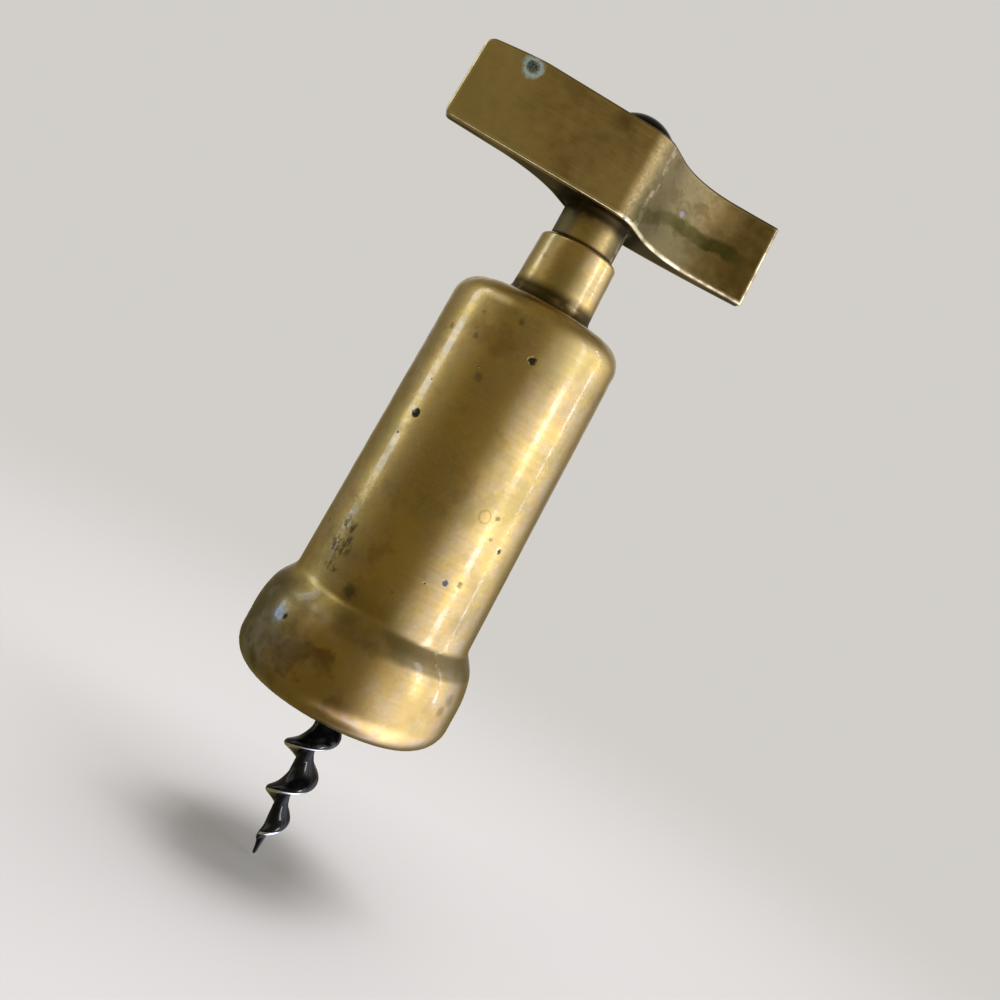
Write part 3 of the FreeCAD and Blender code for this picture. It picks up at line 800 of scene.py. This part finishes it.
# share of the flight's depth, and height from the crest in mm, of points along its section
FLIGHT_SECTION = [
    (0, -4.7), (0, -3.0), (0, -1.5), (0.08, -1.14), (0.3, -1.0), (0.6, -0.9), (0.86, -0.72),
    (0.98, -0.42), (1.0, 0.0), (0.98, 0.36), (0.9, 0.7), (0.74, 1.1), (0.54, 1.6), (0.37, 2.2),
    (0.22, 3.0), (0.09, 3.9), (0, 4.7),
]
FLIGHT_DEPTH = 3.4
SECTION_POINTS = 56
WORM_AROUND = 64
TANG_FLATS = 5.0
STUD_R = 2.45
STUD_END = 102.9
# height, radius and width over flats of the shank, the tang and the stud
SHANK_STATIONS = [
    (FLIGHT_TOP, SHANK_R, 0), (20, SHANK_R, 0), (40, SHANK_R, 0), (60, SHANK_R, 0),
    (80, SHANK_R, 0), (TANG_FOOT - 0.01, SHANK_R, 0), (TANG_FOOT, SHANK_R, TANG_FLATS),
    (POCKET_FLOOR, SHANK_R, TANG_FLATS), (POCKET_FLOOR, STUD_R, 0), (102.6, STUD_R, 0),
    (STUD_END, 2.15, 0), (STUD_END, 0, 0),
]


def crest_turn(height):
    """Angle of the crest at a height: once round for each pitch."""
    return (height - CREST_HEIGHT) / PITCH * 2 * math.pi + CREST_ANGLE


def worm_grid():
    """Rings of the worm's section carried along the helix from the point up to the shank.

    radius = core + (flight - core) share, with the core's radius taken at the point's own height
    and the flight's at the crest's. Neighbouring turns meet halfway between their crests. Points
    past the foot or the shank are held there, so that both ends close.
    """
    share, offset = np.array(FLIGHT_SECTION).T
    steps = np.hypot(np.diff(share) * FLIGHT_DEPTH, np.diff(offset))
    length = np.concatenate([[0], np.cumsum(steps)])
    even = np.linspace(0, length[-1], SECTION_POINTS)
    share, offset = np.interp(even, length, share), np.interp(even, length, offset)
    blend = np.array([0.25, 0.5, 0.25])
    share[1:-1] = np.convolve(share, blend, "valid")
    offset[1:-1] = np.convolve(offset, blend, "valid")

    height, flight, core = np.array(WORM_TAPER)[::-1].T
    turns = math.ceil((FLIGHT_TOP - POINT_HEIGHT + PITCH) / PITCH)
    step = np.arange(turns * WORM_AROUND + 1)
    first = POINT_HEIGHT - PITCH / 2
    angle = (crest_turn(first) + step * 2 * math.pi / WORM_AROUND)[:, None]
    crest = first + step[:, None] * PITCH / WORM_AROUND
    z = np.clip(crest + offset, POINT_HEIGHT, FLIGHT_TOP)
    core_here = np.interp(z, height, core)
    flight_here = np.maximum(np.interp(crest, height, flight), core_here)
    radius = core_here + (flight_here - core_here) * share
    down = np.clip((FLIGHT_TOP - z) / (FLIGHT_TOP - POINT_HEIGHT), 0, 1)
    bent = POINT_BEND * down ** BEND_POWER
    return np.stack([
        radius * np.cos(angle) + bent, radius * np.sin(angle) - BEND_FORWARD * bent, z
    ], axis=-1)


BLACKED = tint(7, 7, 9)
BLACKED_DULL = tint(16, 15, 15)
RUBBED_STEEL = tint(96, 92, 88)
LOWER_EDGE_HIGHLIGHT_STEEL = tint(226, 226, 228)


def worm_finish():
    """Blacked steel under oil, nearly black, grey where it is rubbed, with a painted highlight of
    pale steel on the flight's lower edge.
    """
    steel = Finish("blacked_steel")
    x, y, z = steel.axes()
    radius = (x * x + y * y) ** 0.5
    mottle = steel.grain(1.6, 4)
    drawn = steel.grain(0.4, 3, stretch=(1, 1, 0.05))
    rubbed = z.eased(12, 20) * drawn.eased(0.5, 0.66) * 0.5
    crest = radius.eased(4.45, FLIGHT_R) * mottle.eased(0.45, 0.62) * z.eased(6, 4) * 0.3

    # height from the nearest crest: the height less the crest's rise round the axis
    climb = PITCH / 2 / math.pi
    angle = steel.add("ShaderNodeMath", {"operation": "ARCTAN2"}, {0: y, 1: x})
    from_crest = steel.add(
        "ShaderNodeMath", {"operation": "WRAP"},
        {0: z - angle * climb - (CREST_HEIGHT - CREST_ANGLE * climb), 1: PITCH / 2, 2: -PITCH / 2},
    )
    # a painted highlight of pale steel along the lower edge of the flight
    lower_edge_highlight = from_crest.eased(-1.0, -0.85) * from_crest.eased(-0.3, -0.5)
    lower_edge_highlight = lower_edge_highlight * radius.eased(1.5, 2.2) * z.eased(3, 1)

    colour = steel.mixed(BLACKED, BLACKED_DULL, mottle.eased(0.4, 0.65))
    colour = steel.mixed(colour, RUBBED_STEEL, rubbed.either(crest))
    colour = steel.mixed(colour, LOWER_EDGE_HIGHLIGHT_STEEL, lower_edge_highlight)
    return steel.finished(
        colour, 0.12 + mottle * 0.14, mottle * 0.01 + drawn * 0.003, rubbed.either(lower_edge_highlight),
        Specular_IOR_Level=0.2,
    )


shank = stepped_bar(SHANK_STATIONS, WORM_AROUND, crest_turn(POINT_HEIGHT - PITCH / 2))
worm = piece("worm_ground", (worm_grid(), False), shank)
dressed(worm, "handle", "black_steel", worm_finish(), "worm")

# --------------------------------------------------------------------------------------------------
# The nut and its spring washer, hidden in the handle's pocket under the cap. Plain steel, zinc
# plated, pulled up on the stud.

ZINC = tint(176, 178, 180)
DULL_ZINC = tint(122, 124, 128)


def steel_finish():
    """Zinc-plated steel: grey with pale crystals and a little dull oil."""
    zinc = Finish("plated_steel")
    crystals = zinc.grain(1.2, 4)
    colour = zinc.mixed(ZINC, DULL_ZINC, crystals.eased(0.38, 0.62))
    return zinc.finished(colour, 0.28 + crystals * 0.2, crystals * 0.01)


plated = steel_finish()
for node in ("shank_nut", "lock_washer"):
    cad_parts[node].data.materials[0] = plated

# --------------------------------------------------------------------------------------------------
# The cap. A black domed plug, moulded and glossy, pressed into the pocket over the nut.

DOME_R = 8.09               # of the sphere through crown and rim
CAP_R = 6.95
CAP_RISE = 3.95
SKIRT_R = 5.73
SKIRT_FOOT = 100.5
SKIRT_INSIDE = 4.83
# radius, height and rounding, from the rim to the skirt and its inside
CAP_UNDERSIDE = [
    (6.9, BLOCK_HIGH, 0), (SKIRT_R, BLOCK_HIGH, 0.2), (SKIRT_R, SKIRT_FOOT, 0.2),
    (SKIRT_INSIDE, SKIRT_FOOT, 0.2), (SKIRT_INSIDE, 104.2, 0.3), (0, 104.2, 0),
]
CAP_AROUND = 128
GLOSS_BLACK = tint(6, 6, 7)
WORN_BLACK = tint(13, 12, 11)


def cap_profile():
    """Crown to rim along a sphere, then the underside and the skirt.

    On the sphere the radius is R sin a, and the height is that of the crown less R (1 - cos a).
    """
    angle = np.linspace(0, math.asin(CAP_R / DOME_R), 26)
    crown = BLOCK_HIGH + CAP_RISE
    dome = np.stack([DOME_R * np.sin(angle), crown - DOME_R * (1 - np.cos(angle))], axis=-1)
    return np.concatenate([dome, rounded_path(CAP_UNDERSIDE, closed=False)])


def cap_finish():
    """Black moulding: glossy, faintly orange-peeled, with a few fine rub marks."""
    black = Finish("glossy_black")
    peel = black.grain(1.4, 2)
    rub = black.grain(0.5, 2, stretch=(0.15, 1, 1)).eased(0.62, 0.72)
    colour = black.mixed(GLOSS_BLACK, WORN_BLACK, peel.eased(0.4, 0.7))
    roughness = 0.14 + rub * 0.15 + peel * 0.08
    return black.finished(colour, roughness, peel * 0.01, 0.0, Specular_IOR_Level=0.03)


cap = piece("cap_domed", revolved(cap_profile(), CAP_AROUND))
dressed(cap, "handle", "black_cap", cap_finish(), "top_cap")

# --------------------------------------------------------------------------------------------------
# The studio. A plain pale floor just under the worm's point, three tall strips beside the object
# and one more for the worm alone, a lamp over the floor alone, and a pale room that the object
# itself sees as dim and warm, with a few broad glows.

FLOOR_HEIGHT = -48.0
FLOOR_SIZE = 4.0            # metres across
FLOOR_FADE = (60, 420)      # distances over which the floor turns into the pale of the room
PALE = tint(210, 207, 202)
FLOOR_COLOUR = tint(208, 205, 208)


def floor_finish():
    """Matt pale board that takes the object's shadow and fades, far off, into the pale room."""
    board = Finish("pale_board")
    x, y, z = board.axes()
    away = (x * x + y * y) ** 0.5
    sheet = board.add("ShaderNodeBsdfDiffuse", None, {"Color": FLOOR_COLOUR})
    glow = board.add("ShaderNodeEmission", None, {"Color": PALE, "Strength": 1.0})
    fade = away.eased(*FLOOR_FADE)
    blended = board.add("ShaderNodeMixShader", None, {0: fade, 1: sheet, 2: glow})
    board.add("ShaderNodeOutputMaterial", None, {"Surface": blended})
    return board.material


half = FLOOR_SIZE / 2
corners = [(-half, -half), (half, -half), (half, half), (-half, half)]
board_mesh = bpy.data.meshes.new("floor_board")
board_mesh.from_pydata([(x, y, FLOOR_HEIGHT * MM) for x, y in corners], [], [(0, 1, 2, 3)])
board = bpy.data.objects.new("floor_board", board_mesh)
bpy.context.scene.collection.objects.link(board)
board_mesh.materials.append(floor_finish())
board.visible_glossy = False        # the metal mirrors the room below the horizon too


def soft_box(name, place, aim, width, tall, brightness, colour=(1, 1, 1), only=None):
    """Area light of a radiance at a place, turned to an aim, both in metres.

    Its power in watts is pi times radiance times area. It lights one object alone, if given.
    """
    lamp = bpy.data.lights.new(name, "AREA")
    lamp.shape = "RECTANGLE"
    lamp.size = width
    lamp.size_y = tall
    lamp.energy = math.pi * brightness * width * tall
    lamp.color = colour
    made = bpy.data.objects.new(name, lamp)
    bpy.context.scene.collection.objects.link(made)
    made.location = place
    made.rotation_euler = (Vector(aim) - Vector(place)).to_track_quat("-Z", "Y").to_euler()
    made.visible_camera = False
    if only:
        alone = bpy.data.collections.new(name + "_lights")
        alone.objects.link(only)
        made.light_linking.receiver_collection = alone


def around(azimuth, away, height):
    """Place at an azimuth in degrees round the axis."""
    turn = math.radians(azimuth)
    return away * math.cos(turn), away * math.sin(turn), height


COOL = (0.92, 1.0, 1.22)
COOLER = (0.84, 0.98, 1.12)
MIDDLE = (0, 0, 0.12)       # of the object, where the strips aim
soft_box("strip_right", around(-27, 0.6, 0.18), MIDDLE, 0.09, 0.5, 3.7, COOL)
soft_box("strip_back_right", around(2, 0.6, 0.18), MIDDLE, 0.024, 0.5, 7.0, COOL)
soft_box("strip_left", around(172, 0.6, 0.22), MIDDLE, 0.14, 0.56, 2.5, COOLER)
soft_box("strip_on_worm", around(-48, 0.4, 0.05), (0, 0, -0.03), 0.05, 0.25, 44.0, only=worm)
soft_box("box_above_floor", (0.05, 0, 0.8), (0, 0, 0), 0.5, 0.5, 7.8, only=board)

world = bpy.data.worlds.new("room")
bpy.context.scene.world = world
world.use_nodes = True
room = Nodes(world.node_tree)
direction = room.add("ShaderNodeTexCoord", output="Generated")


def glow_towards(azimuth, elevation, start, end, strength):
    """Brightness that rises as the cosine of the angle to a direction goes from start to end."""
    turn, lift = math.radians(azimuth), math.radians(elevation)
    towards = (
        math.cos(turn) * math.cos(lift), math.sin(turn) * math.cos(lift), math.sin(lift)
    )
    near = room.add(
        "ShaderNodeVectorMath", {"operation": "DOT_PRODUCT"}, {0: direction, 1: towards}, output=1
    )
    return near.eased(start, end, strength)


def lit(base, colour, strength):
    """Adds light of a colour, as strong as the value, to the base colour."""
    added = room.add("ShaderNodeVectorMath", {"operation": "SCALE"}, {0: colour, "Scale": strength})
    return room.add("ShaderNodeVectorMath", {"operation": "ADD"}, {0: base, 1: added})


ROOM_BASE = (0.178, 0.150, 0.058)
# colour, azimuth, elevation, the cosines where the glow starts and is full, and its strength
GLOWS = [
    ((0.93, 1.0, 1.2), -16, -6, 0.4, 1.0, 1.45),
    ((0.92, 1.0, 1.1), 168, 0, 0.6, 1.0, 0.15),
    ((1.0, 0.97, 0.8), -90, 40, 0.6, 1.0, 0.1),
    ((1.0, 0.97, 0.9), 86, 45, 0.45, 1.0, 0.15),
    ((0.95, 1.0, 1.0), -160, 32, 0.93, 1.0, 1.4),
    ((0.9, 1.0, 1.45), 12, -38, 0.8, 1.0, 0.7),
]
room_colour = ROOM_BASE
for colour, *glow in GLOWS:
    room_colour = lit(room_colour, colour, glow_towards(*glow))
not_straight_down = glow_towards(0, -90, 0.97, 0.85, 1.0)
from_below = glow_towards(-22, -60, 0.68, 1.0, 2.2) * not_straight_down
room_colour = lit(room_colour, (0.95, 1.0, 1.4), from_below)

# The camera, glass and the metal's mirror image of what lies behind see the plain pale room.
behind = glow_towards(86, 22, 0.8, 0.97, 1.0)
camera_ray, glossy_ray, glass_ray = [
    room.add("ShaderNodeLightPath", output=name)
    for name in ("Is Camera Ray", "Is Glossy Ray", "Is Transmission Ray")
]
seen = camera_ray.either(glass_ray).either(glossy_ray * behind)
pale = room.add("ShaderNodeBackground", None, {"Color": PALE, "Strength": 1.0})
dim = room.add("ShaderNodeBackground", None, {"Color": room_colour, "Strength": 1.0})
shown = room.add("ShaderNodeMixShader", None, {0: seen, 1: dim, 2: pale})
room.add("ShaderNodeOutputWorld", None, {"Surface": shown})

# The camera looks a little upwards from the front, rolled so that the axis leans over to the right.
CAMERA_PLACE = (-16.139, -205.066, 38.600)
CAMERA_AIM = (9.390, -0.718, 33.500)
CAMERA_ROLL = math.radians(28.936)
FOCAL_PIXELS = 1100
FRAME_PIXELS = 1000

lens = bpy.data.cameras.new("camera")
lens.sensor_width = 36
lens.lens = lens.sensor_width * FOCAL_PIXELS / FRAME_PIXELS
lens.clip_start = 0.01
camera = bpy.data.objects.new("camera", lens)
bpy.context.scene.collection.objects.link(camera)
place, aim = Vector(CAMERA_PLACE) * MM, Vector(CAMERA_AIM) * MM
level = (aim - place).to_track_quat("-Z", "Y").to_matrix().to_4x4()
camera.matrix_world = Matrix.Translation(place) @ level @ Matrix.Rotation(CAMERA_ROLL, 4, "Z")
bpy.context.scene.camera = camera
bpy.context.scene.view_settings.view_transform = "Standard"
